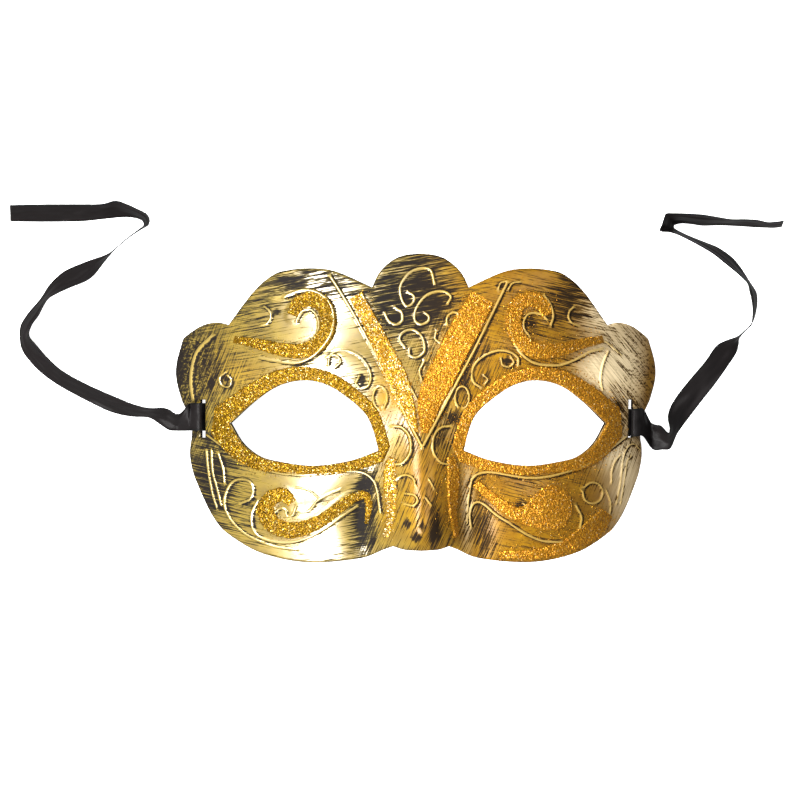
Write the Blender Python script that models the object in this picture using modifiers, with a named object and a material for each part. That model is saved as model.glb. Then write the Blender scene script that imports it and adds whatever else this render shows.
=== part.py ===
"""Venetian half mask of moulded plastic with painted-on glitter trims and two tie ribbons.

The mask lies face up on a table. Units are metres, +Z points out of the face, +Y points to the
forehead and +X to the viewer's right. The origin is the middle of the mask on the table.
Sizes below are in millimetres and are scaled by MM where a mesh is made.
"""

import math

import bmesh
import bpy
from mathutils import Vector

MM = 0.001

# Shell form
CROWN_HEIGHT = 50.0  # dome height on the middle plane, above the rim
RIM_DROP = 2.0  # the dome runs this far below the table, and is trimmed flat there
CHEEK_SPAN = 84.2  # middle plane to side wall at the cheeks
TEMPLE_SPAN = 88.8  # the same at the temple lobes
TEMPLE_Y = 13.0
NOSE_HEIGHT = 19.0
SHELL_THICKNESS = 1.4
GRID_COLUMNS = 44
GRID_ROWS = 24
GRID_HALF_WIDTH = 91.0
GRID_HALF_HEIGHT = 58.0
CUTTER_HEIGHT = 90.0

# Right half of the outline, from the crest's top round to the nose's lower edge.
# Each run is smooth, and runs meet at corners.
CREST = [(0, 55.5), (5, 55), (9, 53.6), (12.7, 50.8), (15.3, 47.6), (17.3, 43.3)]
BROW = [(17.3, 43.3), (27, 47.8), (33, 49.7), (40, 50.2), (47, 49.6), (52.5, 47.9), (59.5, 42), (68.6, 30)]
TEMPLE = [(68.6, 30), (72, 30.9), (76, 30.5), (80, 28.8), (85, 25), (88, 20), (89, 13), (88, 6.5), (85, 2)]
CHEEK = [(85, 2), (82.2, -4), (81.7, -9.5), (82.4, -15), (82.2, -19), (81.2, -23.5), (79.9, -27), (78, -31.5)]
CHEEK += [(75.9, -36), (73.2, -40.6), (69.2, -45), (60, -50.8), (51.5, -53.7), (43, -55.2), (35, -55.4)]
CHEEK += [(26, -54.6), (19.2, -53.4), (13.6, -50.8), (10.2, -49.5)]
NOSE = [(10.2, -49.5), (6, -50.8), (0, -51.2)]
OUTLINE_RUNS = [CREST, BROW, TEMPLE, CHEEK, NOSE]

# Right eye opening: the upper run from the outer to the inner corner, then the lower run
EYE_UPPER = [(68, -5.5), (58.6, 2.6), (50, 8), (41, 9.8), (33, 8)]
EYE_UPPER += [(25.7, 3.3), (20, -2), (17.3, -7.5), (15.3, -15)]
EYE_LOWER = [(15.3, -15), (25, -18.5), (38, -20.4), (50, -19), (57.5, -17), (63.5, -12.5), (68, -5.5)]

# Ribbon slots
SLOT_X = 77.7
SLOT_Y = -3.9
SLOT_LENGTH = 13.6
SLOT_WIDTH = 1.8  # across the slot as seen from the front; 3 mm along the sloping wall

# Glitter trims: a raised skin on the shell
TRIM_GAP = 0.3
TRIM_THICKNESS = 0.5
EYE_TRIM_INSET = 0.5  # from the opening's edge to the trim
# Distance from the eye opening to the trim's outer edge, at the ends of each run and halfway
EYE_TRIM_UPPER = (7.5, 4.6, 4.4)
EYE_TRIM_LOWER = (4.4, 3.2, 7.5)

# Trim strips: centre points with the strip's width at each, (x, y, width), on the right half
BROW_SCROLL = [(66, 24.6, 2.6), (59, 23.3, 3.6), (49, 20.8, 4.8), (41, 20.6, 5.4), (35.3, 24, 5.6)]
BROW_SCROLL += [(33, 30, 5.6), (34.2, 36, 5.6), (38.8, 38.8, 5.4), (43.4, 37.1, 5), (45.4, 32.8, 4.2)]
CHEEK_SCROLL = [(19.2, -41, 1.6), (18.4, -35, 2.6), (19.6, -31, 3), (24, -31.8, 3.6), (29, -35.2, 4)]
CHEEK_SCROLL += [(34, -39, 4.6), (40, -42.2, 5.2), (46.6, -43.4, 5.8), (52.4, -41.4, 6), (54.9, -36.6, 6)]
CHEEK_SCROLL += [(53, -32.2, 5.4), (48.6, -30.8, 4.8), (45.6, -34, 3.6)]
CHEEK_PATCH = [(19.4, -26.6, 3), (24, -30.6, 3.4), (29, -34.6, 4), (34, -37.6, 5), (38.6, -38, 8.6)]
CHEEK_PATCH += [(42.6, -37, 13), (47, -35.8, 16.2), (51, -35.2, 14), (54, -35, 7)]
FOREHEAD_LEFT = [(-23.2, 40.2, 5.2), (-17.8, 30, 5.6), (-13.3, 20, 7.2), (-8.5, 10, 7.9), (-5.8, 3, 6.4)]
FOREHEAD_LEFT += [(-3.8, -3, 4.4), (-1.9, -8.6, 1.8)]
FOREHEAD_RIGHT = [(22.2, 39.6, 8.9), (16.6, 30, 10.4), (11.3, 20, 10.2), (6.4, 10, 10.2), (3.2, 3, 8.8)]
FOREHEAD_RIGHT += [(2, -3.4, 5.9), (1, -8.6, 2.4)]
NOSE_LINE = [(10.3, -17.4, 2.6), (11, -20.4, 3.8), (11.3, -25, 4.4), (11.1, -31, 4), (10.9, -36, 3)]
NOSE_LINE += [(11.6, -41, 2.4), (12.6, -46, 2)]
RIM_PATCH = [(28, -52.4, 2.6), (40, -52.4, 3.6), (51, -50, 4.6), (59.6, -45.6, 6.8)]
RIM_PATCH += [(64.8, -41.4, 7.4), (68, -37.6, 5)]

# Ribbons: double-faced satin, threaded through the slot from behind
RIBBON_WIDTH = 10.0
RIBBON_THICKNESS = 0.4
RIBBON_STEP = 4.0  # distance between sections along the ribbon
TABLE_GAP = 0.05
KNOT_SIZE = (5.4, 9.0, 6.0)
KNOT_X = 71.6
KNOT_Z = 4.4

# Routes: (x, z) through the slot, then (lower edge x, y, upper edge x, y) along the table.
THREAD = [(75, 4.5), (77.2, 6.2), (77.75, 9.2), (78.1, 11.7), (79.6, 11.4), (82, 8.4)]
LEFT_THREAD = [(-x, -3.2, z) for x, z in THREAD]
LEFT_LYING = [(-86.4, -8.2, -86.2, -2.2), (-89.6, -7.9, -89.8, -0.4), (-93.2, -5.6, -92.6, 0.1)]
LEFT_LYING += [(-97, -3.4, -97, 0), (-103.6, -3, -102.6, 1.4), (-111, -1.2, -109, 4)]
LEFT_LYING += [(-120.6, 3.4, -119, 8.4)]
LEFT_LYING += [(-130, 8.6, -128, 13.4), (-137, 13.9, -133.4, 18.2), (-142, 19.8, -137.6, 23)]
LEFT_LYING += [(-143.4, 24, -140, 26.2), (-143.3, 29.6, -139, 30), (-140.4, 34.4, -136.6, 33.4)]
LEFT_LYING += [(-136, 39.6, -133.6, 38.8), (-132.6, 44.8, -130.6, 41), (-127.6, 49.4, -125, 43.6)]
LEFT_LYING += [(-121, 52.4, -119.6, 45.8), (-116.6, 54, -116.4, 48.2), (-112.6, 55.4, -113.2, 52.4)]
LEFT_LYING += [(-109.8, 57, -109.5, 56.8), (-105, 61.2, -104.8, 61), (-100.6, 64.5, -100.2, 64.2)]
LEFT_LYING += [(-98.7, 66.2, -96.8, 66.4), (-99.4, 68, -97.2, 69.6), (-102, 68.9, -101, 71.8)]
LEFT_LYING += [(-105, 69.2, -105.4, 73.8), (-108.6, 69, -109, 74.8), (-114, 68.4, -114, 73.6)]
LEFT_LYING += [(-121, 67.7, -121, 73.5), (-130, 67.5, -130, 73.5), (-139, 67.5, -139, 73.4)]
LEFT_LYING += [(-147, 67.6, -147, 73.2)]
RIGHT_THREAD = [(x, -5.3, z) for x, z in THREAD]
RIGHT_LYING = [(86, -15, 85.4, -5.4), (89.6, -15.1, 88.6, -6.4), (92.4, -14.8, 90.4, -8.4)]
RIGHT_LYING += [(94, -11.4, 91.3, -8.9), (95, -9.2, 91.5, -7), (97.4, -5.8, 91, -3.8), (100, -2.4, 91.9, 0)]
RIGHT_LYING += [(104, 2.8, 95, 5), (108.6, 8.6, 99.8, 11), (113, 14.8, 104.8, 17), (116.4, 20, 108.6, 22.4)]
RIGHT_LYING += [(117.3, 23.2, 112, 24.4), (117.6, 25.4, 116.2, 25.9), (119.4, 27.7, 118.9, 28.2)]
RIGHT_LYING += [(121.4, 29.8, 120.9, 29.9), (122.9, 32.4, 121.5, 32.4), (123.8, 36, 121.6, 36)]
RIGHT_LYING += [(124.1, 39.6, 121.2, 39.2), (123.6, 42.4, 120.5, 42.2), (121.6, 45.4, 119.8, 45)]
RIGHT_LYING += [(120, 48, 118, 47), (117.8, 51.4, 115.2, 49.5), (114.8, 54.8, 111.6, 52.4)]
RIGHT_LYING += [(110, 58.2, 107.6, 55.6), (104.6, 60.4, 103.2, 58.3), (99, 62.6, 98.2, 61)]
RIGHT_LYING += [(95.6, 64.2, 94.4, 62.8), (94.4, 64.9, 91.4, 63.7), (93.9, 65.4, 88, 64.1)]
RIGHT_LYING += [(93.7, 65.8, 88.6, 66)]
RIGHT_LYING += [(93.7, 66, 89.6, 69), (93.9, 66.4, 90.1, 70.4), (94.8, 66.8, 92.6, 70.5)]
RIGHT_LYING += [(97, 67.1, 96.4, 70.4)]
RIGHT_LYING += [(100.4, 66.8, 100.4, 70.2), (104, 66.3, 104, 69.9), (110, 66.4, 110, 68.9)]
RIGHT_LYING += [(114, 66.3, 114, 68.3), (119, 66, 119, 68.3), (123.4, 65.7, 123.6, 68)]
RIGHT_LYING += [(127, 65.6, 127, 67.2)]
RIGHT_LYING += [(130, 65.5, 130, 67.4), (133, 65.8, 133, 67.8)]


def clear_scene():
    for ob in list(bpy.data.objects):
        bpy.data.objects.remove(ob, do_unlink=True)


def new_collection(name):
    group = bpy.data.collections.new(name)
    bpy.context.scene.collection.children.link(group)
    return group


def new_material(name, colour, roughness, metallic):
    mat = bpy.data.materials.new(name)
    mat.use_nodes = True
    shader = mat.node_tree.nodes["Principled BSDF"]
    shader.inputs["Base Color"].default_value = (*colour, 1)
    shader.inputs["Roughness"].default_value = roughness
    shader.inputs["Metallic"].default_value = metallic
    return mat


# ---- form -------------------------------------------------------------------------------


def bump(distance, width):
    return math.exp(-((distance / width) ** 2))


def side_span(y):
    """Distance from the middle plane to the side wall."""
    return CHEEK_SPAN + (TEMPLE_SPAN - CHEEK_SPAN) * bump(y - TEMPLE_Y, 13)


def crown(y):
    """Height of the dome on the middle plane: it leans back at the forehead and under the cheeks."""
    forehead = max(0.0, y - 15)
    chin = max(0.0, -18 - y)
    return CROWN_HEIGHT - 0.0062 * forehead**2 - 0.0075 * chin**2


def nose(x, y):
    """The nose ridge grows from the bridge to its tip and turns under below it."""
    along = min(1.0, max(0.0, (6 - y) / 48))
    under = max(0.0, -43 - y)
    width = 9.0 + 4.5 * along
    return (NOSE_HEIGHT * along**1.25 - 0.11 * under**2) * bump(x, width)


def face_height(x, y):
    """Height of the shell's outer face above the table, in millimetres."""
    side = abs(x)
    dome = crown(y) * (1 - (side / side_span(y)) ** 3) - RIM_DROP
    brow_ridge = 3.6 * bump(y - 22, 9) * bump(side - 36, 24)
    socket = -5.5 * bump(y + 5, 13) * bump(side - 42, 22)
    cheek = 3.8 * bump(y + 36, 13) * bump(side - 44, 20)
    crease = -3.2 * bump(y + 42, 16) * bump(side - 19, 6.5)
    return dome + brow_ridge + socket + cheek + crease + nose(x, y)


# ---- plane outlines ---------------------------------------------------------------------


def smooth_run(points, step=2.5):
    """Points of a Catmull-Rom curve through the given ones, about one every step."""
    spots = [Vector(p) for p in points]
    spots = [2 * spots[0] - spots[1], *spots, 2 * spots[-1] - spots[-2]]
    line = []
    for a, b, c, d in zip(spots, spots[1:], spots[2:], spots[3:]):
        pieces = max(1, round((c - b).length / step))
        for i in range(pieces):
            t = i / pieces
            line.append(
                0.5 * (2 * b + (c - a) * t + (2 * a - 5 * b + 4 * c - d) * t**2
                       + (3 * b - a - 3 * c + d) * t**3)
            )
    line.append(spots[-2])
    return line


def mirrored(line):
    return [Vector((-p[0], *p[1:])) for p in line]


def mask_outline():
    half = []
    for run in OUTLINE_RUNS:
        half += smooth_run(run)[:-1]
    half.append(Vector(NOSE[-1]))
    return half + mirrored(half[1:-1])[::-1]


def eye_outline(side):
    ring = smooth_run(EYE_UPPER)[:-1] + smooth_run(EYE_LOWER)[:-1]
    return ring if side > 0 else mirrored(ring)


def grown_eye(side, amounts_upper, amounts_lower):
    """The eye opening's outline moved outward by an amount that changes along each run."""
    upper, lower = smooth_run(EYE_UPPER), smooth_run(EYE_LOWER)
    grown = []
    for run, amounts in ((upper, amounts_upper), (lower, amounts_lower)):
        last = len(run) - 1
        for i, spot in enumerate(run[:-1]):
            before, after = run[max(0, i - 1)], run[min(last, i + 1)]
            along = (after - before).normalized()
            share = 2 * i / last
            amount = (
                amounts[0] * (1 - share) + amounts[1] * share
                if share < 1
                else amounts[1] * (2 - share) + amounts[2] * (share - 1)
            )
            grown.append(spot + Vector((along.y, -along.x)) * amount)
    return grown if side > 0 else mirrored(grown)


def strip_outline(route):
    """Outline of a strip whose centre points carry its width."""
    line = smooth_run(route)
    left, right = [], []
    for i, spot in enumerate(line):
        before, after = line[max(0, i - 1)], line[min(len(line) - 1, i + 1)]
        along = (after - before).to_2d().normalized()
        across = Vector((-along.y, along.x)) * spot.z / 2
        left.append(spot.to_2d() + across)
        right.append(spot.to_2d() - across)
    return left + right[::-1]


def slot_outline(side):
    x, half_width, half_length = side * SLOT_X, SLOT_WIDTH / 2, SLOT_LENGTH / 2
    corners = [(-half_width, -half_length), (half_width, -half_length), (half_width, half_length)]
    corners.append((-half_width, half_length))
    return [Vector((x + dx, SLOT_Y + dy)) for dx, dy in corners]


# ---- solids -----------------------------------------------------------------------------


def add_mesh(name, mesh, group, material=None):
    ob = bpy.data.objects.new(name, mesh)
    group.objects.link(ob)
    if material:
        mesh.materials.append(material)
    return ob


def prism(name, outline, cutters):
    """A tall upright cutter with the given outline."""
    curve = bpy.data.curves.new(name, "CURVE")
    curve.dimensions = "2D"
    curve.fill_mode = "BOTH"
    curve.extrude = CUTTER_HEIGHT / 2 * MM
    spline = curve.splines.new("POLY")
    spline.points.add(len(outline) - 1)
    for point, spot in zip(spline.points, outline):
        point.co = (spot[0] * MM, spot[1] * MM, 0, 1)
    spline.use_cyclic_u = True
    guide = bpy.data.objects.new(name + "_curve", curve)
    guide.location.z = CUTTER_HEIGHT / 2 * MM - 0.005
    cutters.objects.link(guide)
    bpy.context.view_layer.update()
    mesh = bpy.data.meshes.new_from_object(guide.evaluated_get(bpy.context.evaluated_depsgraph_get()))
    bm = bmesh.new()
    bm.from_mesh(mesh)
    bmesh.ops.remove_doubles(bm, verts=bm.verts, dist=0.00001)
    bmesh.ops.recalc_face_normals(bm, faces=bm.faces)
    bm.to_mesh(mesh)
    bm.free()
    cutter = add_mesh(name, mesh, cutters)
    cutter.matrix_world = guide.matrix_world
    bpy.data.objects.remove(guide, do_unlink=True)
    hide(cutter)
    return cutter


def hide(cutter):
    cutter.hide_render = True
    cutter.display_type = "WIRE"


def table_cutter(cutters):
    bm = bmesh.new()
    bmesh.ops.create_cube(bm, size=1)
    bmesh.ops.scale(bm, vec=(0.3, 0.2, 0.05), verts=bm.verts)
    bmesh.ops.translate(bm, vec=(0, 0, -0.025), verts=bm.verts)
    mesh = bpy.data.meshes.new("table_cutter")
    bm.to_mesh(mesh)
    bm.free()
    cutter = add_mesh("table_cutter", mesh, cutters)
    hide(cutter)
    return cutter


def face_skin(name, lift, thickness, group, material):
    """A skin that follows the face: its inner side lies lift above the face, measured square to it."""
    bm = bmesh.new()
    bmesh.ops.create_grid(bm, x_segments=GRID_COLUMNS, y_segments=GRID_ROWS, size=1)
    for vert in bm.verts:
        share = vert.co.x
        x = GRID_HALF_WIDTH * (0.5 * share + 0.5 * math.sin(math.pi / 2 * share))
        y = GRID_HALF_HEIGHT * vert.co.y
        vert.co = (x * MM, y * MM, face_height(x, y) * MM)
    bmesh.ops.triangulate(bm, faces=bm.faces)
    bm.normal_update()
    for vert in bm.verts:
        vert.co += vert.normal * lift * MM
    mesh = bpy.data.meshes.new(name)
    bm.to_mesh(mesh)
    bm.free()
    skin = add_mesh(name, mesh, group, material)
    solidify = skin.modifiers.new("thickness", "SOLIDIFY")
    solidify.thickness = thickness * MM
    solidify.offset = 1
    return skin


def cut(ob, cutter, operation):
    boolean = ob.modifiers.new(operation.lower(), "BOOLEAN")
    boolean.operation = operation
    boolean.object = cutter
    boolean.solver = "EXACT"


def mask_shell(group, cutters, material):
    shell = face_skin("mask_shell", -SHELL_THICKNESS, SHELL_THICKNESS, group, material)
    cut(shell, prism("outline_cutter", mask_outline(), cutters), "INTERSECT")
    for side, word in ((-1, "left"), (1, "right")):
        cut(shell, prism(f"eye_cutter_{word}", eye_outline(side), cutters), "DIFFERENCE")
        cut(shell, prism(f"slot_cutter_{word}", slot_outline(side), cutters), "DIFFERENCE")
    cut(shell, table_cutter(cutters), "DIFFERENCE")
    return shell


def eye_trim(word, side, group, cutters, material):
    trim = face_skin(f"eye_glitter_{word}", TRIM_GAP, TRIM_THICKNESS, group, material)
    outer = grown_eye(side, EYE_TRIM_UPPER, EYE_TRIM_LOWER)
    inset = (EYE_TRIM_INSET,) * 3
    cut(trim, prism(f"eye_trim_outer_{word}", outer, cutters), "INTERSECT")
    cut(trim, prism(f"eye_trim_inner_{word}", grown_eye(side, inset, inset), cutters), "DIFFERENCE")
    return trim


def strip_trim(name, route, group, cutters, material):
    trim = face_skin(name, TRIM_GAP, TRIM_THICKNESS, group, material)
    cut(trim, prism(f"{name}_cutter", strip_outline(route), cutters), "INTERSECT")
    return trim


def ribbon_stations(thread, lying):
    """Centre and half-width vector at even steps along a ribbon.

    Each row of the route is the plan place of the lower edge, that of the upper edge and the
    lower edge's height. The rest of the width stands up, so both edges keep their distance."""
    half = RIBBON_WIDTH / 2
    rest = RIBBON_THICKNESS / 2 + TABLE_GAP
    route = [(x, y - half, x, y + half, z) for x, y, z in thread]
    route += [(*row, rest) for row in lying]
    for low_x, low_y, high_x, high_y, lift in smooth_run(route, RIBBON_STEP):
        level = Vector((high_x - low_x, high_y - low_y, 0))
        level.length = min(level.length, RIBBON_WIDTH)
        rise = math.sqrt(max(0.0, RIBBON_WIDTH**2 - level.length_squared))
        across = (level + Vector((0, 0, rise))) / 2
        yield Vector((low_x, low_y, max(lift, rest))) + across, across


def ribbon(name, thread, lying, group, material):
    """An open strip through the route, thickened on both sides."""
    bm = bmesh.new()
    previous = None
    for centre, across in ribbon_stations(thread, lying):
        pair = [bm.verts.new((centre + sign * across) * MM) for sign in (-1, 1)]
        if previous:
            bm.faces.new((previous[0], pair[0], pair[1], previous[1]))
        previous = pair
    mesh = bpy.data.meshes.new(name)
    bm.to_mesh(mesh)
    bm.free()
    strip = add_mesh(name, mesh, group, material)
    solidify = strip.modifiers.new("thickness", "SOLIDIFY")
    solidify.thickness = RIBBON_THICKNESS * MM
    solidify.offset = 0
    return strip


def knot(name, side, y, group, material):
    bm = bmesh.new()
    bmesh.ops.create_uvsphere(bm, u_segments=14, v_segments=8, radius=0.5)
    bmesh.ops.scale(bm, vec=[size * MM for size in KNOT_SIZE], verts=bm.verts)
    mesh = bpy.data.meshes.new(name)
    bm.to_mesh(mesh)
    bm.free()
    mesh.shade_smooth()
    lump = add_mesh(name, mesh, group, material)
    lump.location = (side * KNOT_X * MM, y * MM, KNOT_Z * MM)
    return lump


def main():
    clear_scene()
    group = new_collection("venetian_mask")
    cutters = new_collection("cutters")
    cutters.hide_render = True
    plastic = new_material("gold_plastic", (0.42, 0.30, 0.09), 0.4, 0.4)
    yellow = new_material("yellow_gold_glitter", (0.60, 0.36, 0.05), 0.45, 0.7)
    orange = new_material("orange_gold_glitter", (0.55, 0.24, 0.04), 0.45, 0.7)
    satin = new_material("black_satin", (0.015, 0.013, 0.014), 0.45, 0.0)
    bow = new_material("black_satin_knot", (0.013, 0.012, 0.013), 0.5, 0.0)

    mask_shell(group, cutters, plastic)
    eye_trim("left", -1, group, cutters, yellow)
    eye_trim("right", 1, group, cutters, orange)
    strips = [
        ("brow_glitter_left", mirrored(BROW_SCROLL), yellow),
        ("brow_glitter_right", BROW_SCROLL, orange),
        ("forehead_glitter_left", FOREHEAD_LEFT, yellow),
        ("forehead_glitter_right", FOREHEAD_RIGHT, orange),
        ("nose_glitter_left", mirrored(NOSE_LINE), yellow),
        ("nose_glitter_right", NOSE_LINE, orange),
        ("cheek_glitter_left", mirrored(CHEEK_SCROLL), yellow),
        ("cheek_glitter_right", CHEEK_PATCH, orange),
        ("rim_glitter_right", RIM_PATCH, orange),
    ]
    for name, route, material in strips:
        strip_trim(name, route, group, cutters, material)
    ribbon("ribbon_left", LEFT_THREAD, LEFT_LYING, group, satin)
    ribbon("ribbon_right", RIGHT_THREAD, RIGHT_LYING, group, satin)
    knot("ribbon_knot_left", -1, LEFT_THREAD[0][1], group, bow)
    knot("ribbon_knot_right", 1, RIGHT_THREAD[0][1], group, bow)


main()
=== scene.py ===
"""Looks of the venetian half mask: painted shell with relief, glitter trims and satin ribbons.

The mask lies face up, +Z out of the face and +Y to the forehead. Lengths are in millimetres
and are scaled by MM where a mesh, a light or the camera is made.
"""

import math

import bmesh
import bpy
import numpy as np
from mathutils import Matrix, Vector
from mathutils.geometry import delaunay_2d_cdt


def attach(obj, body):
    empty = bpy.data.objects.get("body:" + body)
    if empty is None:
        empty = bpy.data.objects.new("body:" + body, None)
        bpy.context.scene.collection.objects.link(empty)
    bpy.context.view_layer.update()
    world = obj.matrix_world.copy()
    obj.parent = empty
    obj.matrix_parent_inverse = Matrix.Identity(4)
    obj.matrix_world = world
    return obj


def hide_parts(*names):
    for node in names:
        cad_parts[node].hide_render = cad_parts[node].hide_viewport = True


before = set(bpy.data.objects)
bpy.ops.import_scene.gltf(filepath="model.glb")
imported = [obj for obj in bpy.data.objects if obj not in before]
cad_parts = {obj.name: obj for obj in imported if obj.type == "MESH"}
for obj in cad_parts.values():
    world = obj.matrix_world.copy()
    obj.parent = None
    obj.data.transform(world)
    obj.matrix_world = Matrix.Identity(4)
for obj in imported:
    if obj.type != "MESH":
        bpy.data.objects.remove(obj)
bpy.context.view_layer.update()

MM = 0.001

# Shell form, as in the CAD model
CROWN_HEIGHT = 50.0
RIM_DROP = 2.0
CHEEK_SPAN = 84.2
TEMPLE_SPAN = 88.8
TEMPLE_Y = 13.0
NOSE_HEIGHT = 19.0
SHELL_THICKNESS = 1.4

CREST = [(0, 55.5), (5, 55), (9, 53.6), (12.7, 50.8), (15.3, 47.6), (17.3, 43.3)]
BROW = [(17.3, 43.3), (27, 47.8), (33, 49.7), (40, 50.2), (47, 49.6), (52.5, 47.9), (59.5, 42), (68.6, 30)]
TEMPLE = [(68.6, 30), (72, 30.9), (76, 30.5), (80, 28.8), (85, 25), (88, 20), (89, 13), (88, 6.5), (85, 2)]
CHEEK = [(85, 2), (82.2, -4), (81.7, -9.5), (82.4, -15), (82.2, -19), (81.2, -23.5), (79.9, -27)]
CHEEK += [(78, -31.5), (75.9, -36), (73.2, -40.6), (69.2, -45), (60, -50.8), (51.5, -53.7), (43, -55.2)]
CHEEK += [(35, -55.4), (26, -54.6), (19.2, -53.4), (13.6, -50.8), (10.2, -49.5)]
NOSE = [(10.2, -49.5), (6, -50.8), (0, -51.2)]
OUTLINE_RUNS = [CREST, BROW, TEMPLE, CHEEK, NOSE]
EYE_UPPER = [(68, -5.5), (58.6, 2.6), (50, 8), (41, 9.8), (33, 8), (25.7, 3.3), (20, -2), (17.3, -7.5)]
EYE_UPPER += [(15.3, -15)]
EYE_LOWER = [(15.3, -15), (25, -18.5), (38, -20.4), (50, -19), (57.5, -17), (63.5, -12.5), (68, -5.5)]
SLOT_X = 77.7
SLOT_Y = -3.9
SLOT_LENGTH = 13.6
SLOT_WIDTH = 1.8
RIM_LIFT = 0.12  # the outer face ends this far above the table
INWARD_STEP = 0.05
INWARD_STEPS = 40
FAR = 99.0  # stands for any distance beyond the reach

# Glitter strips, (x, y, width), as in the CAD model
BROW_SCROLL = [(66, 24.6, 2.6), (59, 23.3, 3.6), (49, 20.8, 4.8), (41, 20.6, 5.4), (35.3, 24, 5.6)]
BROW_SCROLL += [(33, 30, 5.6), (34.2, 36, 5.6), (38.8, 38.8, 5.4), (43.4, 37.1, 5), (45.4, 32.8, 4.2)]
CHEEK_SCROLL = [(19.2, -41, 1.6), (18.4, -35, 2.6), (19.6, -31, 3), (24, -31.8, 3.6), (29, -35.2, 4)]
CHEEK_SCROLL += [(34, -39, 4.6), (40, -42.2, 5.2), (46.6, -43.4, 5.8), (52.4, -41.4, 6), (54.9, -36.6, 6)]
CHEEK_SCROLL += [(53, -32.2, 5.4), (48.6, -30.8, 4.8), (45.6, -34, 3.6)]
CHEEK_PATCH = [(19.4, -26.6, 3), (24, -30.6, 3.4), (29, -34.6, 4), (34, -37.6, 5), (38.6, -38, 8.6)]
CHEEK_PATCH += [(42.6, -37, 13), (47, -35.8, 16.2), (51, -35.2, 14), (54, -35, 7)]
FOREHEAD_LEFT = [(-23.2, 40.2, 5.2), (-17.8, 30, 5.6), (-13.3, 20, 7.2), (-8.5, 10, 7.9), (-5.8, 3, 6.4)]
FOREHEAD_LEFT += [(-3.8, -3, 4.4), (-1.9, -8.6, 1.8)]
FOREHEAD_RIGHT = [(22.2, 39.6, 8.9), (16.6, 30, 10.4), (11.3, 20, 10.2), (6.4, 10, 10.2), (3.2, 3, 8.8)]
FOREHEAD_RIGHT += [(2, -3.4, 5.9), (1, -8.6, 2.4)]
NOSE_LINE = [(10.3, -17.4, 2.6), (11, -20.4, 3.8), (11.3, -25, 4.4), (11.1, -31, 4), (10.9, -36, 3)]
NOSE_LINE += [(11.6, -41, 2.4), (12.6, -46, 2)]
RIM_PATCH = [(28, -52.4, 2.6), (40, -52.4, 3.6), (51, -50, 4.6), (59.6, -45.6, 6.8), (64.8, -41.4, 7.4)]
RIM_PATCH += [(68, -37.6, 5)]
EYE_BAND_INSET = 0.12
EYE_BAND_UPPER = (7.5, 4.6, 4.4)
EYE_BAND_LOWER = (4.4, 3.2, 7.5)

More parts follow.
